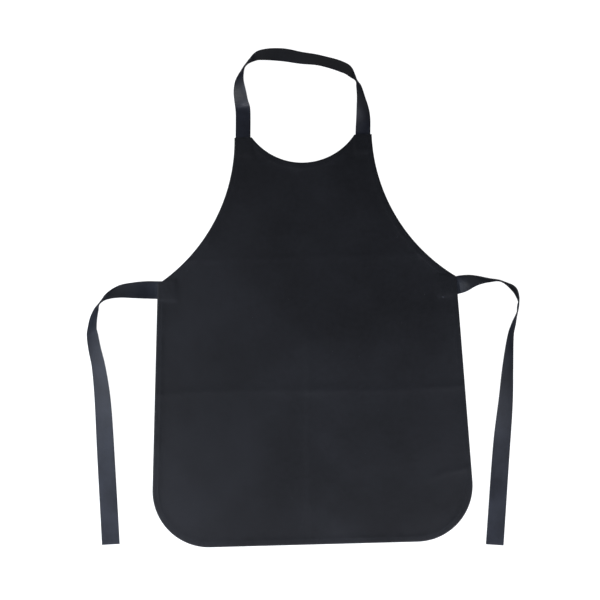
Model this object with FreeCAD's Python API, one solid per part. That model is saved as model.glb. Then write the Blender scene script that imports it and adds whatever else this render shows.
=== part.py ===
import FreeCAD, Part
import math
import os

# An artist's smock apron in thin coated cloth. It lies flat, front up, with its straps thrown out beside it.
# +X is to the side, +Y is towards the neck and +Z is up. The back of the apron rests on Z = 0.
# The origin is the middle of the back: on the centre line, half way between the ear tops and the bottom edge.
# The ears are the two narrow tops of the bib, which carry the neck strap.

Vector = FreeCAD.Vector

# ---- front panel: one piece of cloth with its edges turned under, mm ----
PANEL_LENGTH = 985.0  # ear tops to bottom edge
EAR_SPAN = 331.0  # over the outer corners of both ears
EAR_WIDTH = 42.0
NECK_DROP = 64.0  # ear tops to the lowest point of the neckline
WAIST_WIDTH = 720.0  # between the corners where the armholes meet the sides
WAIST_DROP = 348.0  # ear tops to those corners
ARMHOLE_RADIUS = 418.0
HEM_WIDTH = 772.0  # the widest place, just above the bottom corners
CORNER_RADIUS = 136.0
CLOTH = 0.6  # one layer
HEM_FOLD = 1.2  # the two layers turned under the edge
HEM_DEPTH = 12.0

# ---- straps: the same cloth folded flat into a band, mm ----
BAND = 1.2  # thickness
NECK_STRAP_WIDTH = 36.0
TIE_WIDTH = 43.0
TAB_LENGTH = 40.0  # the sewn end of each strap, under the panel
TAB_GAP = 0.4  # between a sewn end and the turned hem around it
FOLD_GAP = 4.5  # from the panel's edge to where the free strap starts
SIDE_LEAN = 2.0  # how far a side leans out over the width of a tie
ROUTE_STEPS = 5  # sections from one station of a route to the next

# ---- sewing thread, mm ----
THREAD_WIDTH = 0.5
THREAD_HEIGHT = 0.25
SEAM_INSET = 10.0  # the hem seam's distance from the edge
BAND_SEAM_INSET = 3.0  # the band seam's distance from the long edge
THREAD_GAP = 0.02  # under a thread that follows a twisted band
NECK_BOX = (18.0, 24.0)  # boxed cross-stitch over a sewn end, across and along the apron
TIE_BOX = (22.0, 32.0)
BOX_FROM_EDGE = 25.0  # from the panel's edge to the middle of the box

# ---- places that follow from those ----
TOP = PANEL_LENGTH / 2
BOTTOM = -PANEL_LENGTH / 2
WAIST_Y = TOP - WAIST_DROP
EAR_OUT = EAR_SPAN / 2
EAR_IN = EAR_OUT - EAR_WIDTH
EAR_MID = EAR_OUT - EAR_WIDTH / 2
WAIST_X = WAIST_WIDTH / 2
TIE_Y = WAIST_Y - TIE_WIDTH / 2 - 0.5
FACE = HEM_FOLD + CLOTH  # height of the front face along the hem and over the sewn strap ends
STRAP_RAISE = THREAD_GAP + THREAD_HEIGHT  # a free strap lies loose, a thread's height above the table
NECK_START = TOP + FOLD_GAP
TIE_START = WAIST_X + SIDE_LEAN + FOLD_GAP

# Each route is a list of stations (x, y, roll): the middle of the strap seen from above, and how far the strap
# has rolled about its own run: 0 lies flat with its front up, 90 stands on edge. The edge on the inner side of the
# bend is the one that lifts. A strap stands on edge where it turns a corner and leans back down on either side.
NECK_ROUTE = [
    (-EAR_MID, NECK_START, 0),
    (-143, 545, 2),
    (-149, 602, 31),
    (-149.5, 625, 50),
    (-145, 643, 67),
    (-135.5, 662, 81),
    (-120, 677, 67),
    (-97, 689, 41),
    (-47, 689, 24),
    (0, 680, 30),
    (47, 672, 39),
    (106, 651.5, 40),
    (124.5, 631, 66),
    (131.5, 620, 81),
    (136.5, 610, 69),
    (142, 580, 53),
    (146, 540, 22),
    (EAR_MID, NECK_START, 0),
]
LEFT_TIE_ROUTE = [
    (-TIE_START, TIE_Y, 0),
    (-385, 123, 6),
    (-418, 127, 26),
    (-450, 127, 47),
    (-481, 118.5, 68),
    (-498.5, 102.5, 84),
    (-506.5, 90, 72),
    (-515, 66, 61),
    (-519, 40, 53),
    (-517.5, 15, 44),
    (-506.5, -50, 35),
    (-499.5, -127, 21),
    (-496, -243, 8),
    (-489.5, -481, 0),
]
RIGHT_TIE_ROUTE = [
    (TIE_START, TIE_Y, 0),
    (385, 123, 18),
    (412, 129, 50),
    (438, 132, 73),
    (466, 129, 86),
    (495.5, 111, 69),
    (505, 90, 76),
    (504.5, 70, 89),
    (500.5, 50, 82),
    (494.5, 30, 72),
    (486, 1, 65),
    (477, -76, 47),
    (470.5, -153, 32),
    (457.5, -268, 11),
    (435, -505, 0),
]
INNER_SIDE_RIGHT = 1  # walking along the strap from its first station, the bend turns to the right
INNER_SIDE_LEFT = -1


def write(shape, node):
    """Write one node, after making sure that it is one closed solid."""
    if len(shape.Solids) != 1 or not shape.isValid():
        raise ValueError(node + " is not one valid solid")
    shape.exportStep("parts/" + node + ".step")
    print("%-28s %9.1f mm3" % (node, shape.Volume))


def box(x0, x1, y0, y1, z0, z1):
    return Part.makeBox(x1 - x0, y1 - y0, z1 - z0, Vector(x0, y0, z0))


def mirrored(shape):
    return shape.mirror(Vector(0, 0, 0), Vector(1, 0, 0))


# ---- the panel ----


def panel_face():
    """The apron's outline on Z = 0, with its curved neckline, armholes and bottom corners."""
    ear_outer = Vector(EAR_OUT, TOP, 0)
    waist = Vector(WAIST_X, WAIST_Y, 0)

    chord = waist - ear_outer
    outward = Vector(-chord.y, chord.x, 0).normalize()
    to_centre = math.sqrt(ARMHOLE_RADIUS**2 - (chord.Length / 2) ** 2)
    armhole_mid = ear_outer + chord / 2 + outward * (to_centre - ARMHOLE_RADIUS)

    # The side is the straight line from the waist corner that just touches the round bottom corner.
    corner = Vector(HEM_WIDTH / 2 - CORNER_RADIUS, BOTTOM + CORNER_RADIUS, 0)
    away = waist - corner
    touch = math.atan2(away.y, away.x) - math.acos(CORNER_RADIUS / away.Length)
    middle = (touch - math.pi / 2) / 2

    def on_corner(angle):
        return corner + Vector(math.cos(angle), math.sin(angle), 0) * CORNER_RADIUS

    half = [
        Part.makeLine(Vector(EAR_IN, TOP, 0), ear_outer),
        Part.Arc(ear_outer, armhole_mid, waist).toShape(),
        Part.makeLine(waist, on_corner(touch)),
        Part.Arc(on_corner(touch), on_corner(middle), on_corner(-math.pi / 2)).toShape(),
    ]
    neckline = Part.Arc(Vector(-EAR_IN, TOP, 0), Vector(0, TOP - NECK_DROP, 0), Vector(EAR_IN, TOP, 0))
    bottom = Part.makeLine(Vector(corner.x, BOTTOM, 0), Vector(-corner.x, BOTTOM, 0))
    edges = half + [mirrored(edge) for edge in half] + [neckline.toShape(), bottom]
    return Part.Face(Part.Wire(Part.__sortEdges__(edges)))


def inset(face, distance):
    return face.makeOffset2D(-distance)


def neck_tab():
    """The right end of the neck strap, sewn under its ear."""
    return box(EAR_MID - NECK_STRAP_WIDTH / 2, EAR_MID + NECK_STRAP_WIDTH / 2, TOP - TAB_LENGTH, TOP, 0, BAND)


def tie_tab():
    """The right tie's end, sewn under the waist corner."""
    return box(WAIST_X - TAB_LENGTH, WAIST_X, TIE_Y - TIE_WIDTH / 2, TIE_Y + TIE_WIDTH / 2, 0, BAND)


def around(tab, margin, height):
    """A block over a sewn end, wider than it by the margin, that runs out past the panel's edge."""
    bounds = tab.BoundBox
    past_side = TIE_WIDTH if bounds.XMax == WAIST_X else margin
    past_top = NECK_STRAP_WIDTH if bounds.YMax == TOP else margin
    x0, x1 = bounds.XMin - margin, bounds.XMax + past_side
    return box(x0, x1, bounds.YMin - margin, bounds.YMax + past_top, 0, height)


def front_panel(face):
    """One layer of cloth on the table, three layers at the hem, and a raised place over each sewn strap end."""
    hem = face.cut(inset(face, HEM_DEPTH)).extrude(Vector(0, 0, FACE))
    panel = face.extrude(Vector(0, 0, CLOTH)).fuse(hem)
    outline = face.extrude(Vector(0, 0, FACE))
    for tab in (neck_tab(), tie_tab()):
        cover = around(tab, TAB_GAP + CLOTH, FACE)
        room = around(tab, TAB_GAP, HEM_FOLD)
        panel = panel.fuse([cover.common(outline), mirrored(cover).common(outline)])
        panel = panel.cut(room).cut(mirrored(room))
    return panel.removeSplitter()


# ---- sewing on the front ----


def hem_seam(face, x0, x1, y0, y1):
    """The run of the hem's seam that lies between the given limits, on the front face."""
    outer = inset(face, SEAM_INSET - THREAD_WIDTH / 2)
    loop = outer.cut(inset(face, SEAM_INSET + THREAD_WIDTH / 2)).extrude(Vector(0, 0, THREAD_HEIGHT))
    loop.translate(Vector(0, 0, FACE))
    return loop.common(box(x0, x1, y0, y1, FACE, FACE + THREAD_HEIGHT)).Solids[0]


def thread_bar(start, end):
    """A straight run of thread on the front face from one point to another."""
    run = end - start
    bar = box(0, run.Length, -THREAD_WIDTH / 2, THREAD_WIDTH / 2, FACE, FACE + THREAD_HEIGHT)
    bar.rotate(Vector(0, 0, 0), Vector(0, 0, 1), math.degrees(math.atan2(run.y, run.x)))
    bar.translate(start)
    return bar


def box_stitch(x, y, size):
    """The sewn rectangle with crossed diagonals that holds a strap end, about the given middle."""
    x0, x1 = x - size[0] / 2, x + size[0] / 2
    y0, y1 = y - size[1] / 2, y + size[1] / 2
    corners = [Vector(x0, y0, 0), Vector(x1, y0, 0), Vector(x1, y1, 0), Vector(x0, y1, 0)]
    frame = box(x0, x1, y0, y1, FACE, FACE + THREAD_HEIGHT)
    w = THREAD_WIDTH
    frame = frame.cut(box(x0 + w, x1 - w, y0 + w, y1 - w, FACE, FACE + THREAD_HEIGHT))
    cross = thread_bar(corners[0], corners[2]).fuse(thread_bar(corners[1], corners[3]))
    cross = cross.common(box(x0, x1, y0, y1, FACE, FACE + THREAD_HEIGHT))
    return frame.fuse(cross).removeSplitter()


# ---- the free straps ----


def along(route):
    """Stations spaced closely along a smooth curve through the given ones, each with its direction."""
    count = len(route)
    reach = [0.0]
    for a, b in zip(route, route[1:]):
        reach.append(reach[-1] + math.hypot(b[0] - a[0], b[1] - a[1]))

    def slope(i, axis):
        i0, i1 = max(i - 1, 0), min(i + 1, count - 1)
        return (route[i1][axis] - route[i0][axis]) / (reach[i1] - reach[i0])

    samples = []
    for i in range(count - 1):
        gap = reach[i + 1] - reach[i]
        for k in range(ROUTE_STEPS + (i == count - 2)):
            t = k / ROUTE_STEPS
            rise, fall = 3 * t**2 - 2 * t**3, 6 * t - 6 * t**2
            values = []
            for axis in range(3):
                a, b = route[i][axis], route[i + 1][axis]
                m, n = slope(i, axis) * gap, slope(i + 1, axis) * gap
                values.append(a + (b - a) * rise + m * (t - 2 * t**2 + t**3) + n * (t**3 - t**2))
                if axis < 2:
                    values.append((b - a) * fall + m * (1 - 4 * t + 3 * t**2) + n * (3 * t**2 - 2 * t))
            x, dx, y, dy, roll = values
            samples.append((x, y, roll, math.atan2(dy, dx)))
    return samples


def strap_sections(route, width, inner_side, low, high, left, right):
    """The corners of rectangles across a strap: low to high through its thickness, left to right across its width."""
    sections = []
    for x, y, roll, heading in along(route):
        turn = math.radians(roll)
        inward = Vector(math.sin(heading), -math.cos(heading), 0) * inner_side
        across = inward * math.cos(turn) + Vector(0, 0, math.sin(turn))
        front = inward * -math.sin(turn) + Vector(0, 0, math.cos(turn))
        lift = abs(math.sin(turn)) * width / 2 + abs(math.cos(turn)) * BAND / 2
        middle = Vector(x, y, STRAP_RAISE + lift)
        corners = [(left, low), (right, low), (right, high), (left, high)]
        sections.append([middle + across * a + front * b for a, b in corners])
    return sections


def free_strap(route, width, inner_side):
    """The band itself, from the fold beside the panel to its other end."""
    half = width / 2
    sections = strap_sections(route, width, inner_side, -BAND / 2, BAND / 2, -half, half)
    wires = [Part.makePolygon(corners + corners[:1]) for corners in sections]
    return Part.makeLoft(wires, True, True)


def band_seam(route, width, inner_side):
    """The thread that closes the folded band, near its outer long edge: four ruled faces from each section to the next."""
    low = BAND / 2 + THREAD_GAP
    left = BAND_SEAM_INSET - width / 2
    sections = strap_sections(route, width, inner_side, low, low + THREAD_HEIGHT, left, left + THREAD_WIDTH)
    faces = []
    for here, ahead in zip(sections, sections[1:]):
        for k in range(4):
            n = (k + 1) % 4
            faces.append(Part.makeRuledSurface(Part.makeLine(here[k], here[n]), Part.makeLine(ahead[k], ahead[n])))
    for corners in (sections[0], sections[-1]):
        faces.append(Part.Face(Part.makePolygon(corners + corners[:1])))
    shell = Part.makeShell(faces)
    shell.sewShape()
    solid = Part.Solid(shell.Shells[0])
    if solid.Volume < 0:
        solid.reverse()
    return solid


def main():
    os.makedirs("parts", exist_ok=True)
    face = panel_face()
    write(front_panel(face), "front_panel")

    ear_line = TOP - SEAM_INSET - THREAD_WIDTH
    ear_seam = hem_seam(face, EAR_IN, EAR_OUT, ear_line, TOP)
    armhole_seam = hem_seam(face, EAR_MID, WAIST_X - SEAM_INSET - 2, WAIST_Y - HEM_DEPTH, ear_line)
    right_side = {
        "neck_strap_end": neck_tab(),
        "waist_tie_end": tie_tab(),
        "neck_strap_box_stitch": box_stitch(EAR_MID, TOP - BOX_FROM_EDGE, NECK_BOX),
        "waist_tie_box_stitch": box_stitch(WAIST_X - BOX_FROM_EDGE, TIE_Y, TIE_BOX),
        "ear_stitching": ear_seam,
        "armhole_stitching": armhole_seam,
    }
    for name, shape in right_side.items():
        write(shape, name + "_right")
        write(mirrored(shape), name + "_left")
    write(hem_seam(face, -EAR_MID, EAR_MID, TOP - NECK_DROP - HEM_DEPTH, ear_line), "neckline_stitching")
    skirt = hem_seam(face, -HEM_WIDTH, HEM_WIDTH, BOTTOM, WAIST_Y - HEM_DEPTH)
    write(skirt, "side_and_bottom_stitching")

    straps = {
        "neck_strap": (NECK_ROUTE, NECK_STRAP_WIDTH, INNER_SIDE_RIGHT),
        "waist_tie_left": (LEFT_TIE_ROUTE, TIE_WIDTH, INNER_SIDE_LEFT),
        "waist_tie_right": (RIGHT_TIE_ROUTE, TIE_WIDTH, INNER_SIDE_RIGHT),
    }
    for name, strap in straps.items():
        write(free_strap(*strap), name)
        write(band_seam(*strap), name + "_stitching")


main()
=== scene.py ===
import math

import bmesh
import bpy
import numpy as np
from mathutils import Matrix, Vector, noise
from mathutils.bvhtree import BVHTree
from mathutils.geometry import delaunay_2d_cdt
from mathutils.kdtree import KDTree


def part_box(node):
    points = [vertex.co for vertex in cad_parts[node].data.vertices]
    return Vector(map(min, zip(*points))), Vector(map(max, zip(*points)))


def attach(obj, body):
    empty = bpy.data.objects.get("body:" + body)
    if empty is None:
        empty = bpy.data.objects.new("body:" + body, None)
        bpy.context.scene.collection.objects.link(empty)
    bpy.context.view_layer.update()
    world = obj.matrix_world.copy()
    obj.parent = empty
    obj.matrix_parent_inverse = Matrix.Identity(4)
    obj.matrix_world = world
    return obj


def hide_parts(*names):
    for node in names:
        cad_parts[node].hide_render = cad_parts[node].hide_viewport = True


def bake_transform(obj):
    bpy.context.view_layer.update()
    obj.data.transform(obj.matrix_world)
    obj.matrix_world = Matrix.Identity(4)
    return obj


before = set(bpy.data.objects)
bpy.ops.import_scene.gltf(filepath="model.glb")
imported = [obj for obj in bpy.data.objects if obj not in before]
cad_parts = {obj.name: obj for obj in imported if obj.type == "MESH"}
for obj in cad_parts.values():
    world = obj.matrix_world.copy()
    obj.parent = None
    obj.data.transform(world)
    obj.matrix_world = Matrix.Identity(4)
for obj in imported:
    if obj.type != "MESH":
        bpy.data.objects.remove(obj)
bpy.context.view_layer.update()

# An artist's smock apron in thin coated cloth, lying front up.
# All lengths are in metres, in the frame of the design.

# ---- the cut of the panel ----
PANEL_LOW, PANEL_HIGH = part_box("front_panel")
TOP, BOTTOM = PANEL_HIGH.y, PANEL_LOW.y
HALF_HEM = PANEL_HIGH.x
EAR_MID = (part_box("neck_strap_end_right")[0].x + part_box("neck_strap_end_right")[1].x) / 2
TIE_END_LOW, TIE_END_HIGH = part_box("waist_tie_end_right")
WAIST_X = TIE_END_HIGH.x
TIE_Y = (TIE_END_LOW.y + TIE_END_HIGH.y) / 2
TIE_Y_LEFT = TIE_Y + 0.0085  # the left tie is sewn a little higher
TAB_LENGTH = TIE_END_HIGH.x - TIE_END_LOW.x
EAR_WIDTH = 0.042
NECK_DROP = 0.064
WAIST_Y = TOP - 0.348
ARMHOLE_RADIUS = 0.418
CORNER_RADIUS = 0.136
EAR_IN, EAR_OUT = EAR_MID - EAR_WIDTH / 2, EAR_MID + EAR_WIDTH / 2

# ---- cloth ----
LAYER = 0.0006
HEM = 0.0012  # one layer over two turned ones, pressed
SEAM_INSET = 0.010  # from the panel's edge to the seam of its hem
BAND = 0.0011  # a folded strap
NECK_WIDTH = 0.036
TIE_WIDTH = 0.043
BAND_SEAM_INSET = 0.003  # from a strap's outer edge to the seam that closes it
OVER_STRAP = 0.0012  # how far the panel is raised where a strap end lies under it
LEAST_CLEARANCE = 0.0002  # the panel's back above the table

# ---- routes of the straps ----
# Stations as (x, y, roll in degrees): the design's own, with a few more between them.
# The roll lifts the strap's inner edge off the table.

NECK_ROUTE = [
    (-EAR_MID, 0.497, 0),
    (-0.1430, 0.545, 1),
    (-0.1435, 0.564, 4),
    (-0.1458, 0.575, 20),
    (-0.1492, 0.602, 31),
    (-0.1495, 0.625, 50),
    (-0.1450, 0.643, 67),
    (-0.1355, 0.662, 81),
    (-0.1200, 0.677, 67),
    (-0.0970, 0.689, 41),
    (-0.0470, 0.689, 24),
    (0.0, 0.680, 30),
    (0.0470, 0.672, 39),
    (0.1060, 0.6515, 40),
    (0.1245, 0.631, 66),
    (0.1315, 0.620, 81),
    (0.1365, 0.610, 69),
    (0.1420, 0.580, 53),
    (0.1460, 0.540, 22),
    (EAR_MID, 0.497, 0),
]
LEFT_TIE_ROUTE = [
    (-0.3665, TIE_Y_LEFT, 0),
    (-0.385, 0.1318, 8),
    (-0.418, 0.1318, 27),
    (-0.450, 0.1298, 44),
    (-0.481, 0.1187, 68),
    (-0.4985, 0.1025, 84),
    (-0.5065, 0.0900, 72),
    (-0.5150, 0.0660, 61),
    (-0.5190, 0.0425, 54),
    (-0.5190, 0.0270, 45),
    (-0.5150, -0.0050, 40),
    (-0.5065, -0.0500, 35),
    (-0.4995, -0.1270, 21),
    (-0.4960, -0.2430, 8),
    (-0.4895, -0.4790, 0),
]
RIGHT_TIE_ROUTE = [
    (0.3665, 0.1245, 0),
    (0.3740, 0.1262, 12),
    (0.3830, 0.1287, 26),
    (0.3940, 0.1315, 41),
    (0.4120, 0.1335, 59),
    (0.4340, 0.1330, 74),
    (0.4640, 0.1293, 86),
    (0.4955, 0.1110, 69),
    (0.5050, 0.0900, 76),
    (0.5045, 0.0700, 89),
    (0.5005, 0.0500, 82),
    (0.4945, 0.0300, 72),
    (0.4860, 0.0010, 65),
    (0.4770, -0.0760, 47),
    (0.4705, -0.1530, 32),
    (0.4575, -0.2680, 11),
    (0.4350, -0.5050, 0),
]


def smooth_step(x):
    x = np.clip(x, 0.0, 1.0)
    return x * x * (3 - 2 * x)


def soft_noise(points, scale, seed):
    """Smooth noise about zero at each (x, y) of an array, with features of 1 / scale metres."""
    offset = Vector((seed * 7.1, seed * 3.7, seed * 1.3))
    return np.array([noise.noise(Vector((x * scale, y * scale, 0.0)) + offset) for x, y in points])


# ---- outline ----


def arc_points(centre, radius, start, end, step):
    count = max(2, round(abs(end - start) * radius / step) + 1)
    angles = np.linspace(start, end, count)
    return np.stack([centre[0] + radius * np.cos(angles), centre[1] + radius * np.sin(angles)], axis=1)


def line_points(a, b, step):
    count = max(2, round(math.dist(a, b) / step) + 1)
    return np.linspace(a, b, count)


def outline_runs(step):
    """The outline from the left ear, as named runs of points. Each run ends where the next starts."""
    ear, waist = np.array([EAR_OUT, TOP]), np.array([WAIST_X, WAIST_Y])
    chord = waist - ear
    length = np.linalg.norm(chord)
    outward = np.array([-chord[1], chord[0]]) / length
    armhole_centre = (ear + waist) / 2 + outward * math.sqrt(ARMHOLE_RADIUS**2 - (length / 2) ** 2)
    ear_angle = math.atan2(*(ear - armhole_centre)[::-1])
    waist_angle = math.atan2(*(waist - armhole_centre)[::-1])
    armhole = arc_points(armhole_centre, ARMHOLE_RADIUS, ear_angle % math.tau, waist_angle % math.tau, step)

    corner = np.array([HALF_HEM - CORNER_RADIUS, BOTTOM + CORNER_RADIUS])
    away = waist - corner
    touch = math.atan2(away[1], away[0]) - math.acos(CORNER_RADIUS / np.linalg.norm(away))
    round_corner = arc_points(corner, CORNER_RADIUS, touch, -math.pi / 2, step)
    half_bottom = line_points(round_corner[-1], (0.0, BOTTOM), step)
    side = line_points(waist, round_corner[0], step)
    half_skirt = np.concatenate([side[:-1], round_corner[:-1], half_bottom])

    neck_radius = (EAR_IN**2 + NECK_DROP**2) / (2 * NECK_DROP)
    neck_centre = (0.0, TOP - NECK_DROP + neck_radius)
    spread = math.asin(EAR_IN / neck_radius)
    down = -math.pi / 2
    neckline = arc_points(neck_centre, neck_radius, down - spread, down + spread, step)

    def mirrored(points):
        return (points * (-1, 1))[::-1]

    ear_top = line_points((EAR_IN, TOP), ear, step)
    return {
        "ear_stitching_left": mirrored(ear_top),
        "neckline_stitching": neckline,
        "ear_stitching_right": ear_top,
        "armhole_stitching_right": armhole,
        "side_and_bottom_stitching": np.concatenate([half_skirt, mirrored(half_skirt)[1:]]),
        "armhole_stitching_left": mirrored(armhole),
    }


def closed_outline(step):
    return np.concatenate([run[:-1] for run in outline_runs(step).values()])


def inward_normals(points, closed):
    ahead, behind = np.roll(points, -1, axis=0), np.roll(points, 1, axis=0)
    if not closed:
        ahead[-1], behind[0] = points[-1], points[0]
    along = ahead - behind
    along /= np.linalg.norm(along, axis=1)[:, None]
    return np.stack([along[:, 1], -along[:, 0]], axis=1)


FINE_OUTLINE = closed_outline(0.001)
OUTLINE_TREE = KDTree(len(FINE_OUTLINE))
for index, (x, y) in enumerate(FINE_OUTLINE):
    OUTLINE_TREE.insert((x, y, 0.0), index)
OUTLINE_TREE.balance()
FINE_LENGTH = np.concatenate([[0.0], np.cumsum(np.linalg.norm(np.diff(FINE_OUTLINE, axis=0), axis=1))])


def edge_distance(points):
    """For each point: its distance to the outline, and how far along the outline the nearest place is."""
    found = [OUTLINE_TREE.find((x, y, 0.0)) for x, y in points]
    return np.array([f[2] for f in found]), FINE_LENGTH[[f[1] for f in found]]


def inside_outline(points):
    """True for each point inside the outline, by counting the edges crossed on the way out."""
    a, b = FINE_OUTLINE, np.roll(FINE_OUTLINE, -1, axis=0)
    inside = np.zeros(len(points), bool)
    for (ax, ay), (bx, by) in zip(a, b):
        if ay == by:
            continue
        crosses = (points[:, 1] < ay) != (points[:, 1] < by)
        at = ax + (points[:, 1] - ay) * (bx - ax) / (by - ay)
        inside ^= crosses & (points[:, 0] < at)
    return inside


def hex_grid(spacing, margin):
    """Evenly spaced points inside the outline, at least the margin from it."""
    rows = np.arange(BOTTOM, TOP, spacing * math.sqrt(3) / 2)
    columns = np.arange(-HALF_HEM, HALF_HEM, spacing)
    grid = np.array([(x + spacing / 2 * (r % 2), y) for r, y in enumerate(rows) for x in columns])
    grid = grid[inside_outline(grid)]
    return grid[edge_distance(grid)[0] > margin]


def triangulated(boundary, inner):
    """Points and triangles that fill the boundary, using all the inner points."""
    points = [Vector(p) for p in np.concatenate([boundary, inner])]
    loop = list(range(len(boundary)))
    made = delaunay_2d_cdt(points, [], [loop], 1, 1e-7)
    return np.array([tuple(p) for p in made[0]]), [list(f) for f in made[2]]


# ---- the panel ----

TABS = [
    (side * EAR_MID, TOP - TAB_LENGTH / 2, NECK_WIDTH / 2, TAB_LENGTH / 2) for side in (-1, 1)
] + [
    (side * (WAIST_X - TAB_LENGTH / 2), y, TAB_LENGTH / 2, TIE_WIDTH / 2)
    for side, y in ((-1, TIE_Y_LEFT), (1, RIGHT_TIE_ROUTE[0][1]))
]


def tab_distance(points):
    """Distance from each point to the nearest sewn strap end, negative inside it."""
    nearest = np.full(len(points), np.inf)
    for x, y, half_x, half_y in TABS:
        out = np.stack([np.abs(points[:, 0] - x) - half_x, np.abs(points[:, 1] - y) - half_y], axis=1)
        beyond = np.linalg.norm(np.maximum(out, 0), axis=1) + np.minimum(out.max(axis=1), 0)
        nearest = np.minimum(nearest, beyond)
    return nearest


def folds(points):
    """Height of the faint ridges that the cloth keeps from being folded and handled."""
    x, y = points[:, 0], points[:, 1]

    def ridge(distance, height, spread):
        return height * np.exp(-np.abs(distance) / spread)

    across_skirt = ridge(y + 0.121 + 0.004 * np.sin(9 * x), 0.0007, 0.007)
    down_middle = ridge(x - 0.006 * np.sin(5 * y), 0.0005, 0.008) * smooth_step((0.2 - y) / 0.3)
    across_bib = ridge(y - 0.2, 0.0004, 0.006)
    bow = y + 0.325 + 1.6 * (x - 0.36) ** 2 - 0.12 * (x - 0.33)
    low_right = ridge(bow, 0.0007, 0.004) * smooth_step((0.07 - np.abs(x - 0.33)) / 0.04)
    return across_skirt + down_middle + across_bib + low_right


def start_waves(points):
    """How the cloth stands up before it is let go."""
    waves = 0.0045 * soft_noise(points, 5.0, 1) + 0.0022 * soft_noise(points, 13.0, 2)
    return waves + 0.0010 * soft_noise(points, 30.0, 3) + 2.5 * folds(points)


SETTLE_FRAMES = 30
SETTLE_GAP = 0.001  # between the cloth and the table while it settles
START_HEIGHT = 0.002


def settled_heights(points, triangles):
    """Cloth simulation: the slightly crumpled panel settles on the table. Returns each point's height."""
    start = start_waves(points)
    start -= start.min() - START_HEIGHT
    mesh = bpy.data.meshes.new("settling")
    mesh.from_pydata([(x, y, z) for (x, y), z in zip(points, start)], [], triangles)
    cloth = bpy.data.objects.new("settling", mesh)
    table = bpy.data.objects.new("settling_table", bpy.data.meshes.new("settling_table"))
    table.data.from_pydata([(-1, -1, 0), (1, -1, 0), (1, 1, 0), (-1, 1, 0)], [], [(0, 1, 2, 3)])
    for thing in (cloth, table):
        bpy.context.scene.collection.objects.link(thing)
    table.modifiers.new("Collision", "COLLISION")
    table.collision.thickness_outer = SETTLE_GAP
    table.collision.cloth_friction = 20
    modifier = cloth.modifiers.new("Cloth", "CLOTH")
    settings = modifier.settings
    settings.quality = 6
    settings.mass = 0.05
    settings.tension_stiffness = 20
    settings.compression_stiffness = 20
    settings.shear_stiffness = 10
    settings.bending_stiffness = 2.0
    settings.air_damping = 2
    modifier.collision_settings.distance_min = SETTLE_GAP
    modifier.point_cache.frame_end = SETTLE_FRAMES
    for number in range(1, SETTLE_FRAMES + 1):
        bpy.context.scene.frame_set(number)
    evaluated = cloth.evaluated_get(bpy.context.evaluated_depsgraph_get())
    heights = np.array([v.co.z for v in evaluated.data.vertices])
    bpy.context.scene.frame_set(1)
    for thing in (cloth, table):
        bpy.data.objects.remove(thing)
    return np.maximum(heights - heights.min(), 0.0)


def interpolated(points, coarse, triangles, values):
    """Values given at the coarse mesh's points, read off at other points."""
    tree = BVHTree.FromPolygons([(x, y, 0.0) for x, y in coarse], triangles)
    read = np.zeros(len(points))
    for i, (x, y) in enumerate(points):
        where, _, index, _ = tree.find_nearest((x, y, 0.0))
        a, b, c = (coarse[k] for k in triangles[index])
        total = (b[0] - a[0]) * (c[1] - a[1]) - (c[0] - a[0]) * (b[1] - a[1])
        wb = ((where.x - a[0]) * (c[1] - a[1]) - (c[0] - a[0]) * (where.y - a[1])) / total
        wc = ((b[0] - a[0]) * (where.y - a[1]) - (where.x - a[0]) * (b[1] - a[1])) / total
        va, vb, vc = values[triangles[index]]
        read[i] = va + (vb - va) * wb + (vc - va) * wc
    return read


def smoothed(values, edges, rounds):
    """Values at a mesh's points, averaged with their neighbours a number of times."""
    a, b = edges[:, 0], edges[:, 1]
    count = np.bincount(a, minlength=len(values)) + np.bincount(b, minlength=len(values))
    for _ in range(rounds):
        total = np.bincount(a, values[b], len(values)) + np.bincount(b, values[a], len(values))
        values = values * 0.5 + total / count * 0.5
    return values


# Spacing of the points, and how far from the edge their grid starts: where the cloth settles, and finished.
COARSE, COARSE_MARGIN = 0.011, 0.007
FINE, FINE_MARGIN = 0.007, 0.0225
EDGE_STEP = 0.004
HEM_RINGS = (0.0008, 0.004, 0.0076, 0.0100, 0.0120, 0.0138, 0.0158, 0.0182)


def panel_mesh():
    """Points and triangles of the panel, with rings of points that follow its hem."""
    edge = closed_outline(EDGE_STEP)
    rings = []
    for depth in HEM_RINGS:
        ring = edge + inward_normals(edge, True) * depth
        rings.append(ring[edge_distance(ring)[0] > depth * 0.97])
    return triangulated(edge, np.concatenate(rings + [hex_grid(FINE, FINE_MARGIN)]))


def panel_relief(points, triangles):
    """Height of the settled waves and folds at each point, flat over the sewn strap ends."""
    coarse, coarse_triangles = triangulated(closed_outline(COARSE), hex_grid(COARSE, COARSE_MARGIN))
    waves = settled_heights(coarse, coarse_triangles)
    lift = interpolated(points, coarse, coarse_triangles, waves)
    sides = np.array([(f[i], f[i - 1]) for f in triangles for i in range(3)])
    from_tab = tab_distance(points)
    lift = smoothed(lift, sides, 8) * smooth_step((from_tab - 0.004) / 0.06)
    return lift + folds(points) * smooth_step(from_tab / 0.02)


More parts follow.
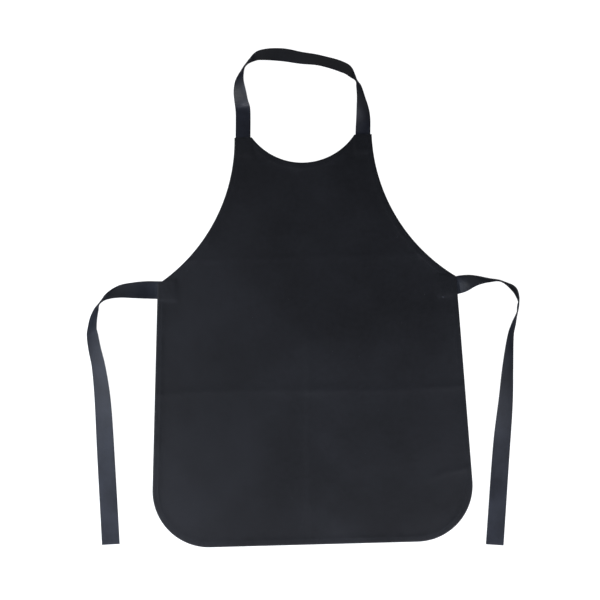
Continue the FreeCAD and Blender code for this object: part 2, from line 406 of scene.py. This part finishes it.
def panel_surfaces(points, lift):
    """Heights of the panel's front and back, with its pressed hem, the hem's seam and the strap ends."""
    depth, along = edge_distance(points)
    from_tab = tab_distance(points)
    raised = smooth_step((0.0215 - depth) / 0.0110)
    over_tab = smooth_step((0.011 - from_tab) / 0.011)
    pucker = 0.00008 * np.sin(along * math.tau / 0.011 + 3 * np.sin(along * 23))
    pucker = pucker * np.exp(-(((depth - SEAM_INSET) / 0.004) ** 2))
    groove = 0.00013 * np.exp(-(((depth - SEAM_INSET) / 0.0014) ** 2))
    rounding = 0.0005 * smooth_step((0.0010 - depth) / 0.0010)
    shape = np.maximum((HEM - LAYER) * raised, OVER_STRAP * over_tab)
    front = LAYER + shape + lift + pucker - groove - rounding
    in_hem = smooth_step((0.0140 - depth) / 0.0015) * smooth_step((from_tab - 0.0002) / 0.002)
    thickness = LAYER + (HEM - LAYER) * in_hem - rounding * 2
    return front, np.maximum(front - thickness, LEAST_CLEARANCE)


def panel_piece():
    """The panel as one closed sheet: settled waves, a turned hem and raised places over the strap ends."""
    points, triangles = panel_mesh()
    front, back = panel_surfaces(points, panel_relief(points, triangles))
    count = len(points)
    vertices = [(x, y, z) for z_of_side in (front, back) for (x, y), z in zip(points, z_of_side)]
    faces = triangles + [[i + count for i in reversed(f)] for f in triangles]
    sides = [(f[i], f[(i + 1) % 3]) for f in triangles for i in range(3)]
    known = set(sides)
    rim = [(a, b) for a, b in sides if (b, a) not in known]
    faces += [[b, a, a + count, b + count] for a, b in rim]
    piece = new_mesh("apron_panel", vertices, faces)
    set_flat(piece, np.concatenate([points, points]))
    depth = edge_distance(points)[0]
    wear = 0.6 * np.exp(-((depth / 0.0016) ** 2)) + 0.12 * np.exp(-(((depth - 0.0125) / 0.0020) ** 2))
    set_attribute(piece, "wear", np.concatenate([wear, wear]))
    return piece


# ---- mesh helpers ----


def new_mesh(name, vertices, faces):
    mesh = bpy.data.meshes.new(name)
    mesh.from_pydata([tuple(v) for v in vertices], [], faces)
    mesh.validate()
    mesh.shade_smooth()
    piece = bpy.data.objects.new(name, mesh)
    bpy.context.scene.collection.objects.link(piece)
    return piece


def set_flat(piece, flat):
    """Each point's place on the flat cloth in metres, as a UV map, so that the weave lies in the cloth."""
    layer = piece.data.uv_layers.new(name="cloth")
    corner = np.zeros(len(piece.data.loops), np.int32)
    piece.data.loops.foreach_get("vertex_index", corner)
    layer.data.foreach_set("uv", np.asarray(flat, np.float32)[corner].ravel())


def set_attribute(piece, name, values):
    layer = piece.data.attributes.new(name, "FLOAT", "POINT")
    layer.data.foreach_set("value", np.asarray(values, np.float32))


# ---- straps ----

STRAP_STEP = 0.0025  # between a strap's cross-sections
CROSS_PLACES = np.concatenate([[-1.0, -0.985, -0.93], np.linspace(-0.84, 0.84, 9), [0.93, 0.985, 1.0]])


def route_samples(route, step):
    """Close points along a smooth curve through the stations: x, y, roll in radians and heading."""
    stations = np.array(route, float)
    gaps = np.linalg.norm(np.diff(stations[:, :2], axis=0), axis=1)
    reach = np.concatenate([[0.0], np.cumsum(gaps)])
    numbers = np.arange(len(route))
    before, after = np.maximum(numbers - 1, 0), np.minimum(numbers + 1, len(route) - 1)
    slopes = (stations[after] - stations[before]) / (reach[after] - reach[before])[:, None]
    where = np.linspace(0.0, reach[-1], round(reach[-1] / step) + 1)
    i = np.clip(np.searchsorted(reach, where, side="right") - 1, 0, len(gaps) - 1)
    gap = gaps[i][:, None]
    t = ((where - reach[i]) / gaps[i])[:, None]
    a, b, m, n = stations[i], stations[i + 1], slopes[i] * gap, slopes[i + 1] * gap
    values = a + (b - a) * (3 * t**2 - 2 * t**3) + m * (t - 2 * t**2 + t**3) + n * (t**3 - t**2)
    speed = (b - a) * (6 * t - 6 * t**2) + m * (1 - 4 * t + 3 * t**2) + n * (3 * t**2 - 2 * t)
    heading = np.arctan2(speed[:, 1], speed[:, 0])
    return np.stack([values[:, 0], values[:, 1], np.radians(values[:, 2]), heading], axis=1)


def sewn_samples(near, sewn, step):
    """Flat, straight points from a strap's sewn end out to the given first sample of its free part."""
    x, y, _, heading = near
    back = np.arange(round(sewn / step), 0, -1)[:, None] * sewn / round(sewn / step)
    count = len(back)
    way = np.array([[math.cos(heading), math.sin(heading)]])
    return np.hstack([np.array([[x, y]]) - back * way, np.zeros((count, 1)), np.full((count, 1), heading)])


def band_samples(route, step):
    """A whole strap: its end under the panel, its free part and, on the neck strap, the other sewn end."""
    free = route_samples(route, step)
    both_ends = route is NECK_ROUTE
    gap = route[0][1] - TOP if both_ends else abs(route[0][0]) - WAIST_X
    parts = [sewn_samples(free[0], TAB_LENGTH + gap, step), free]
    if both_ends:
        back = free[-1] + (0, 0, 0, math.pi)
        far = sewn_samples(back, TAB_LENGTH + gap, step)[::-1]
        far[:, 3] -= math.pi
        parts.append(far)
    return np.concatenate(parts)


def band_frames(route, width, inner_side, seed):
    """Middle, way across, way out of the front, run and freedom, at each cross-section of a strap."""
    x, y, roll, heading = band_samples(route, STRAP_STEP).T
    run = np.concatenate([[0.0], np.cumsum(np.hypot(np.diff(x), np.diff(y)))])
    inward = np.stack([np.sin(heading), -np.cos(heading), np.zeros(len(x))], axis=1) * inner_side
    up = np.array([0.0, 0.0, 1.0])
    across = inward * np.cos(roll)[:, None] + up * np.sin(roll)[:, None]
    front = -inward * np.sin(roll)[:, None] + up * np.cos(roll)[:, None]
    free = smooth_step((run - TAB_LENGTH - 0.02) / 0.05)
    if route is NECK_ROUTE:
        free *= smooth_step((run[-1] - run - TAB_LENGTH - 0.02) / 0.05)
    wander = np.array([noise.noise(Vector((r * 9.0, seed, 0.0))) + 0.3 for r in run])
    lift = np.abs(np.sin(roll)) * width / 2 + np.abs(np.cos(roll)) * BAND / 2
    lift += free * (0.0003 + 0.0016 * np.maximum(wander, 0.0) * np.abs(np.cos(roll)))
    middle = np.stack([x, y, lift + 0.00003], axis=1)
    return middle, across, front, run, free


def strap_piece(name, route, width, inner_side, seed):
    """A folded band of cloth with soft edges that follows its route, twisting where it turns."""
    middle, across, front, run, free = band_frames(route, width, inner_side, seed)
    half = width / 2
    places = CROSS_PLACES
    body = (1 - np.abs(places) ** 14) ** 0.5
    body -= 0.22 * np.exp(-(((places * half + half - BAND_SEAM_INSET) / 0.0012) ** 2))
    vertices, flat, wear, back = [], [], [], []
    for m, a, f, r, loose in zip(middle, across, front, run, free):
        cup = loose * (0.0009 * noise.noise(Vector((r * 14.0, seed + 5.0, 0.0))) + 0.0028 * abs(a[2]) ** 4)
        for side in (1, -1):
            order = range(len(places)) if side == 1 else range(len(places) - 2, 0, -1)
            for k in order:
                bow = cup * (1 - places[k] ** 2)
                vertices.append(m + a * places[k] * half + f * (bow + side * body[k] * BAND / 2))
                flat.append((r, places[k] * half))
                wear.append(0.6 * abs(places[k]) ** 30)
                back.append(float(side < 0))
    ring = 2 * len(places) - 2
    count = len(middle)
    faces = []
    for s in range(count - 1):
        for k in range(ring):
            n = (k + 1) % ring
            faces.append([s * ring + k, s * ring + n, (s + 1) * ring + n, (s + 1) * ring + k])
    faces.append(list(range(ring))[::-1])
    faces.append([(count - 1) * ring + k for k in range(ring)])
    if inner_side < 0:
        faces = [f[::-1] for f in faces]
    piece = new_mesh(name, vertices, faces)
    tidy_normals(piece)
    set_flat(piece, flat)
    set_attribute(piece, "wear", wear)
    set_attribute(piece, "back", back)
    return piece


def tidy_normals(piece):
    work = bmesh.new()
    work.from_mesh(piece.data)
    bmesh.ops.recalc_face_normals(work, faces=work.faces)
    work.to_mesh(piece.data)
    work.free()


# ---- stitches ----

THREAD = 0.00042
STITCH_PITCH = 0.0031
STITCH_LENGTH = 0.0026
SEAM_SINK = 0.00014  # how deep the straps' seams lie in their groove
PANEL_SINK = 0.00006  # how deep the panel's seams lie in the cloth
RAY_START = 0.2  # well above or below the cloth
BOX_FROM_EDGE = 0.025  # from the panel's edge to the middle of a boxed stitch
NECK_BOX = (0.018, 0.024)
TIE_BOX = (0.022, 0.032)
STITCH_SIDES = 7
# Rings of one stitch, as (place along it, size, height), in lengths, diameters and diameters.
STITCH_RINGS = [
    (-0.5, 0.35, -0.45),
    (-0.38, 0.85, -0.05),
    (0.0, 1.0, 0.12),
    (0.38, 0.85, -0.05),
    (0.5, 0.35, -0.45),
]


def resampled(points, pitch):
    """Middles of equal stretches of a path, the path's direction there, and their indices on the path."""
    steps = np.linalg.norm(np.diff(points, axis=0), axis=1)
    reach = np.concatenate([[0.0], np.cumsum(steps)])
    count = max(1, round(reach[-1] / pitch))
    where = (np.arange(count) + 0.5) * reach[-1] / count
    i = np.clip(np.searchsorted(reach, where, side="right") - 1, 0, len(steps) - 1)
    t = ((where - reach[i]) / steps[i])[:, None]
    along = (points[i + 1] - points[i]) / steps[i][:, None]
    return points[i] * (1 - t) + points[i + 1] * t, along, i


def add_stitch(vertices, faces, middle, along, out, turn, length):
    """One rounded stitch whose two ends dip into the cloth."""
    side = np.cross(out, along)
    along = along * math.cos(turn) + side * math.sin(turn)
    side = np.cross(out, along)
    first = len(vertices)
    for at, size, height in STITCH_RINGS:
        centre = middle + along * at * length + out * height * THREAD
        for k in range(STITCH_SIDES):
            angle = math.tau * k / STITCH_SIDES
            radius = size * THREAD / 2
            vertices.append(centre + (side * math.cos(angle) + out * math.sin(angle) * 0.8) * radius)
    rings = len(STITCH_RINGS)
    for r in range(rings - 1):
        for k in range(STITCH_SIDES):
            n = (k + 1) % STITCH_SIDES
            a, b = first + r * STITCH_SIDES, first + (r + 1) * STITCH_SIDES
            faces.append([a + k, b + k, b + n, a + n])
    last = first + (rings - 1) * STITCH_SIDES
    faces.append([first + k for k in range(STITCH_SIDES)])
    faces.append([last + k for k in range(STITCH_SIDES)][::-1])


def stitched(name, rows, seed):
    """A piece of sewing made of rows. A row is a path of points and the way out of the cloth at each."""
    draw = np.random.default_rng(seed)
    vertices, faces = [], []
    for points, outs in rows:
        middles, along, i = resampled(points, STITCH_PITCH)
        for middle, way, index in zip(middles, along, i):
            turn, longer = draw.uniform(-0.05, 0.05), draw.uniform(0.94, 1.04)
            add_stitch(vertices, faces, middle, way, outs[index], turn, STITCH_LENGTH * longer)
    piece = new_mesh(name, vertices, faces)
    tidy_normals(piece)
    return piece


def surface_rows(tree, flat_paths):
    """Rows on the front of the panel, and the same rows on its back, from paths given as (x, y)."""
    rows = []
    for path in flat_paths:
        for start, way, out in ((RAY_START, -1.0, 1.0), (-RAY_START, 1.0, -1.0)):
            hits = [tree.ray_cast((x, y, start), (0.0, 0.0, way))[0] for x, y in path]
            kept = np.array([tuple(hit) for hit in hits if hit is not None])
            rows.append((kept - (0, 0, PANEL_SINK * out), np.tile((0.0, 0.0, out), (len(kept), 1))))
    return rows


def hem_path(run):
    """The hem's seam beside one run of the outline."""
    path = run + inward_normals(run, False) * SEAM_INSET
    return path[edge_distance(path)[0] > SEAM_INSET * 0.98]


def box_paths(x, y, width, height):
    """The rectangle and its crossed diagonals."""
    x0, x1, y0, y1 = x - width / 2, x + width / 2, y - height / 2, y + height / 2
    corners = [(x0, y0), (x1, y0), (x1, y1), (x0, y1)]
    lines = list(zip(corners, corners[1:] + corners[:1]))
    lines += [(corners[0], corners[2]), (corners[1], corners[3])]
    return [line_points(a, b, 0.0015) for a, b in lines]


def band_rows(route, width, inner_side, seed):
    """The seam that closes a folded band, seen on both its sides near the outer edge."""
    middle, across, front, run, free = band_frames(route, width, inner_side, seed)
    line = middle + across * (BAND_SEAM_INSET - width / 2)
    start = np.searchsorted(run, TAB_LENGTH + 0.002)
    stop = len(run) - start if route is NECK_ROUTE else len(run)
    rows = []
    for side in (1, -1):
        face = line + front * side * (BAND / 2 - SEAM_SINK)
        rows.append((face[start:stop], front[start:stop] * side))
    return rows


# ---- materials ----


class Material:
    """A short way to write a node material. An input is another node's output or a plain value."""

    def __init__(self, name):
        self.made = bpy.data.materials.new(name)
        self.made.use_nodes = True
        self.tree = self.made.node_tree
        self.shader = self.tree.nodes["Principled BSDF"]

    def put(self, socket, value):
        if isinstance(value, bpy.types.NodeSocket):
            self.tree.links.new(value, socket)
        else:
            socket.default_value = value

    def add(self, kind, inputs, **settings):
        node = self.tree.nodes.new("ShaderNode" + kind)
        for key, value in settings.items():
            setattr(node, key, value)
        for key, value in inputs.items():
            self.put(node.inputs[key], value)
        return node

    def maths(self, operation, a, b=0.0):
        return self.add("Math", {0: a, 1: b}, operation=operation).outputs[0]

    def spread(self, value, low, high, to_low, to_high):
        inputs = {"Value": value, "From Min": low, "From Max": high, "To Min": to_low, "To Max": to_high}
        return self.add("MapRange", inputs, interpolation_type="SMOOTHSTEP").outputs["Result"]

    def noise(self, vector, scale, detail=2.0, roughness=0.5):
        inputs = {"Vector": vector, "Scale": scale, "Detail": detail, "Roughness": roughness}
        return self.add("TexNoise", inputs).outputs["Fac"]

    def blend(self, amount, a, b):
        node = self.add("Mix", {"Factor": amount}, data_type="RGBA")
        self.put(node.inputs[6], a)
        self.put(node.inputs[7], b)
        return node.outputs[2]

    def bump(self, height, distance, strength, normal=None):
        inputs = {"Height": height, "Distance": distance, "Strength": strength}
        if normal is not None:
            inputs["Normal"] = normal
        return self.add("Bump", inputs).outputs["Normal"]

    def surface(self, **inputs):
        for key, value in inputs.items():
            self.put(self.shader.inputs[key.replace("_", " ")], value)


def plain_weave(m, vector, pitch):
    """Height from 0 to 1 of a plain weave: threads that pass over and under each other in turn."""
    split = m.add("SeparateXYZ", {"Vector": vector})
    waves = [m.maths("SINE", m.maths("MULTIPLY", split.outputs[k], math.pi / pitch)) for k in range(2)]
    over = m.maths("GREATER_THAN", m.maths("MULTIPLY", waves[0], waves[1]), 0.0)
    humps = [m.maths("ABSOLUTE", wave) for wave in waves]
    heights = []
    for across, along in (humps, humps[::-1]):
        round_top = m.maths("POWER", across, 0.6)
        crown = m.maths("ADD", m.maths("MULTIPLY", along, 0.45), 0.55)
        heights.append(m.maths("MULTIPLY", round_top, crown))
    warp = m.maths("MULTIPLY", over, heights[0])
    weft = m.maths("MULTIPLY", m.maths("SUBTRACT", 1.0, over), heights[1])
    return m.maths("ADD", warp, weft)


def cloth_material(name, dark, light, pitch, roughness, gloss, cloud_scale):
    """Near-black woven, coated cloth: cloudy tone, weave, slubs, faint crumple, lint and worn edges."""
    m = Material(name)
    flat = m.add("UVMap", {}, uv_map="cloth").outputs["UV"]
    clouds = m.noise(flat, cloud_scale, 3.0, 0.55)
    mottle = m.noise(flat, 90.0, 4.0, 0.65)
    grain = m.noise(flat, 900.0, 2.0, 0.6)
    weave = plain_weave(m, flat, pitch)
    tone = m.maths("ADD", m.spread(clouds, 0.3, 0.7, 0.0, 0.62), m.spread(mottle, 0.3, 0.7, 0.0, 0.26))
    tone = m.maths("ADD", tone, m.maths("MULTIPLY", m.maths("SUBTRACT", weave, 0.5), 0.16))
    colour = m.blend(tone, (*dark, 1.0), (*light, 1.0))

    wear = m.add("Attribute", {}, attribute_name="wear").outputs["Fac"]
    back = m.add("Attribute", {}, attribute_name="back").outputs["Fac"]
    uncoated = (light[0] * 1.25, light[1] * 1.2, light[2] * 1.15, 1.0)
    colour = m.blend(m.maths("MULTIPLY", back, 0.8), colour, uncoated)
    worn = m.maths("MULTIPLY", wear, m.spread(m.noise(flat, 260.0), 0.35, 0.7, 0.15, 0.6))
    colour = m.blend(worn, colour, (light[0] * 2.4, light[1] * 2.4, light[2] * 2.3, 1.0))
    specks = m.add("TexVoronoi", {"Vector": flat, "Scale": 75.0, "Randomness": 1.0})
    near = m.spread(specks.outputs["Distance"], 0.02, 0.045, 1.0, 0.0)
    lint = m.maths("MULTIPLY", near, m.maths("GREATER_THAN", m.noise(flat, 23.0, 1.0), 0.62))
    colour = m.blend(m.maths("MULTIPLY", lint, 0.35), colour, (0.16, 0.17, 0.18, 1.0))

    rough = m.maths("ADD", roughness - 0.07, m.maths("MULTIPLY", clouds, 0.08))
    rough = m.maths("ADD", rough, m.maths("MULTIPLY", mottle, 0.06))
    facing = m.add("LayerWeight", {"Blend": 0.5}).outputs["Facing"]
    shine = m.maths("MULTIPLY", m.spread(facing, 0.20, 0.60, 1.0, 0.05), gloss)
    threads = m.bump(weave, 0.00005, 0.55)
    slubs = m.bump(grain, 0.00006, 0.5, threads)
    crumple = m.bump(mottle, 0.0006, 0.45, slubs)
    m.surface(
        Base_Color=colour, Roughness=rough, Specular_IOR_Level=shine, Normal=crumple,
    )
    return m.made


def thread_material():
    """Black sewing thread: twisted, a little fuzzy and duller than the cloth."""
    m = Material("sewing_thread")
    place = m.add("TexCoord", {}).outputs["Object"]
    strands = {"Vector": place, "Scale": 1400.0, "Distortion": 1.5}
    twist = m.add("TexWave", strands, bands_direction="DIAGONAL")
    fuzz = m.noise(place, 2600.0, 3.0, 0.7)
    shade = m.maths("MULTIPLY", m.maths("ADD", twist.outputs["Fac"], fuzz), 0.5)
    colour = m.blend(shade, (0.0012, 0.0015, 0.0024, 1.0), (0.0050, 0.0062, 0.0090, 1.0))
    normal = m.bump(twist.outputs["Fac"], 0.00006, 0.6, m.bump(fuzz, 0.00003, 0.6))
    m.surface(Base_Color=colour, Roughness=0.62, Specular_IOR_Level=0.07, Normal=normal)
    return m.made


def floor_material():
    """A plain white light table: its own even glow drowns the shadows on it."""
    m = Material("pale_table")
    place = m.add("TexCoord", {}).outputs["Object"]
    soft = m.noise(place, 3.0, 3.0)
    colour = m.blend(soft, (0.095, 0.095, 0.095, 1.0), (0.105, 0.105, 0.105, 1.0))
    m.surface(
        Base_Color=colour, Roughness=0.85, Specular_IOR_Level=0.0,
        Emission_Color=(1.0, 1.0, 1.0, 1.0), Emission_Strength=0.96,
    )
    return m.made


# ---- camera, light and table ----

CAMERA_HEIGHT = 6.0
VIEW_MIDDLE = (-0.018, 0.0976)
VIEW_WIDTH = 1.446
VIEW_TURN = -1.55  # degrees
SENSOR = 36  # millimetres
TABLE_HALF = 4.0
PALE_BLUE = (0.90, 0.93, 1.03)
# Soft lamps: name, place, size, power in watts and colour.
LIGHTS = [
    ("light_left", (-1.15, -0.45, 0.76), (0.8, 1.6), 50, (0.87, 0.93, 1.06)),
    ("light_near", (0.15, -1.48, 0.74), (2.2, 0.6), 116, (0.91, 0.93, 1.02)),
    ("light_right", (1.30, -0.60, 0.84), (0.8, 1.6), 24, PALE_BLUE),
    ("light_far", (-0.40, 1.90, 1.20), (1.6, 1.0), 9, PALE_BLUE),
    ("light_far_left", (-1.20, 0.62, 0.62), (0.3, 0.4), 19, (0.97, 0.99, 1.01)),
]


def add_camera():
    """Straight above the apron, far off, turned a little so that the apron lies as it was laid."""
    camera = bpy.data.cameras.new("camera")
    camera.sensor_width = SENSOR
    camera.lens = SENSOR * CAMERA_HEIGHT / VIEW_WIDTH
    camera.clip_end = 50
    viewer = bpy.data.objects.new("camera", camera)
    viewer.location = (*VIEW_MIDDLE, CAMERA_HEIGHT)
    viewer.rotation_euler = (0, 0, math.radians(VIEW_TURN))
    bpy.context.scene.collection.objects.link(viewer)
    bpy.context.scene.camera = viewer


def add_light(name, place, size, power, colour):
    """A large soft panel of light that faces the middle of the apron."""
    light = bpy.data.lights.new(name, "AREA")
    light.shape = "RECTANGLE"
    light.size, light.size_y = size
    light.energy = power
    light.color = colour
    lamp = bpy.data.objects.new(name, light)
    lamp.location = place
    lamp.rotation_euler = (Vector((0, 0, 0)) - Vector(place)).to_track_quat("-Z", "Y").to_euler()
    lamp.visible_camera = False
    bpy.context.scene.collection.objects.link(lamp)


def add_surroundings():
    """A pale room that is brighter near the horizon than overhead."""
    world = bpy.data.worlds.new("room")
    world.use_nodes = True
    nodes, links = world.node_tree.nodes, world.node_tree.links
    place = nodes.new("ShaderNodeTexCoord")
    split = nodes.new("ShaderNodeSeparateXYZ")
    height = nodes.new("ShaderNodeMapRange")
    height.interpolation_type = "SMOOTHSTEP"
    for socket, value in (("From Min", 0.42), ("From Max", 0.75), ("To Min", 0.9), ("To Max", 0.03)):
        height.inputs[socket].default_value = value
    links.new(place.outputs["Generated"], split.inputs[0])
    links.new(split.outputs["Z"], height.inputs["Value"])
    links.new(height.outputs["Result"], nodes["Background"].inputs["Strength"])
    nodes["Background"].inputs["Color"].default_value = (0.97, 0.985, 1.0, 1.0)
    bpy.context.scene.world = world


def add_table():
    half = TABLE_HALF
    corners = [(-half, -half, 0), (half, -half, 0), (half, half, 0), (-half, half, 0)]
    table = new_mesh("table", corners, [(0, 1, 2, 3)])
    table.location.z = -0.0003  # just clear of the cloth
    table.data.materials.append(floor_material())


# ---- the whole apron ----


def finished(piece, material, slot, *nodes):
    piece.data.materials.append(material)
    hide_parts(*nodes)


add_camera()
add_surroundings()
for lamp in LIGHTS:
    add_light(*lamp)
add_table()
bpy.context.scene.view_settings.view_transform = "Standard"

panel_cloth = cloth_material(
    "coated_cloth", dark=(0.0010, 0.0011, 0.0015), light=(0.0030, 0.0033, 0.0043),
    pitch=0.00045, roughness=0.50, gloss=0.092, cloud_scale=4.0,
)
tie_cloth = cloth_material(
    "strap_cloth", dark=(0.0022, 0.0026, 0.0038), light=(0.0062, 0.0072, 0.0100),
    pitch=0.00040, roughness=0.48, gloss=0.085, cloud_scale=16.0,
)
# The neck strap is the same cloth as the ties; this copy's darker colours are painted shade, and its gloss
# is higher.
shaded_neck_cloth = cloth_material(
    "neck_strap_cloth_painted_shade", dark=(0.0010, 0.0012, 0.0023), light=(0.0030, 0.0036, 0.0060),
    pitch=0.00040, roughness=0.46, gloss=0.115, cloud_scale=16.0,
)
sewing = thread_material()

panel = panel_piece()
finished(panel, panel_cloth, "coated_cloth", "front_panel")
panel_tree = BVHTree.FromObject(panel, bpy.context.evaluated_depsgraph_get())
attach(panel, "apron")

panel_sewing = []
for number, (node, run) in enumerate(outline_runs(0.002).items()):
    hem_rows = surface_rows(panel_tree, [hem_path(run)])
    panel_sewing.append((node, stitched("sewing_" + node, hem_rows, 10 + number)))
for side, word in ((-1, "left"), (1, "right")):
    neck_box = box_paths(side * EAR_MID, TOP - BOX_FROM_EDGE, *NECK_BOX)
    tie_root = LEFT_TIE_ROUTE[0][1] if side < 0 else RIGHT_TIE_ROUTE[0][1]
    tie_box = box_paths(side * (WAIST_X - BOX_FROM_EDGE), tie_root, *TIE_BOX)
    for node, paths in (("neck_strap_box_stitch_", neck_box), ("waist_tie_box_stitch_", tie_box)):
        piece = stitched("sewing_" + node + word, surface_rows(panel_tree, paths), 20 + side)
        panel_sewing.append((node + word, piece))
for node, piece in panel_sewing:
    finished(piece, sewing, "thread", node)
    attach(piece, "apron")

outline = closed_outline(0.002)

# node, route, width, side of its inner edge, body, sewn ends, cloth
STRAPS = [
    (
        "neck_strap", NECK_ROUTE, NECK_WIDTH, 1, "neck_loop",
        ["neck_strap_end_left", "neck_strap_end_right"], shaded_neck_cloth,
    ),
    ("waist_tie_left", LEFT_TIE_ROUTE, TIE_WIDTH, -1, "left_tie", ["waist_tie_end_left"], tie_cloth),
    ("waist_tie_right", RIGHT_TIE_ROUTE, TIE_WIDTH, 1, "right_tie", ["waist_tie_end_right"], tie_cloth),
]
# Each strap and the seam that closes it.
for number, (node, route, width, inner_side, body, sewn_ends, cloth) in enumerate(STRAPS):
    seed = 1.7 + 4.1 * number
    strap = strap_piece("cloth_" + node, route, width, inner_side, seed)
    finished(strap, cloth, "strap_cloth", node, *sewn_ends)
    seam = stitched("sewing_" + node, band_rows(route, width, inner_side, seed), 30)
    finished(seam, sewing, "thread", node + "_stitching")
    if route is NECK_ROUTE:
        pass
    else:
        side = math.copysign(1, route[0][0])
    for piece in (strap, seam):
        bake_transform(piece)
    laid = band_samples(route, STRAP_STEP)
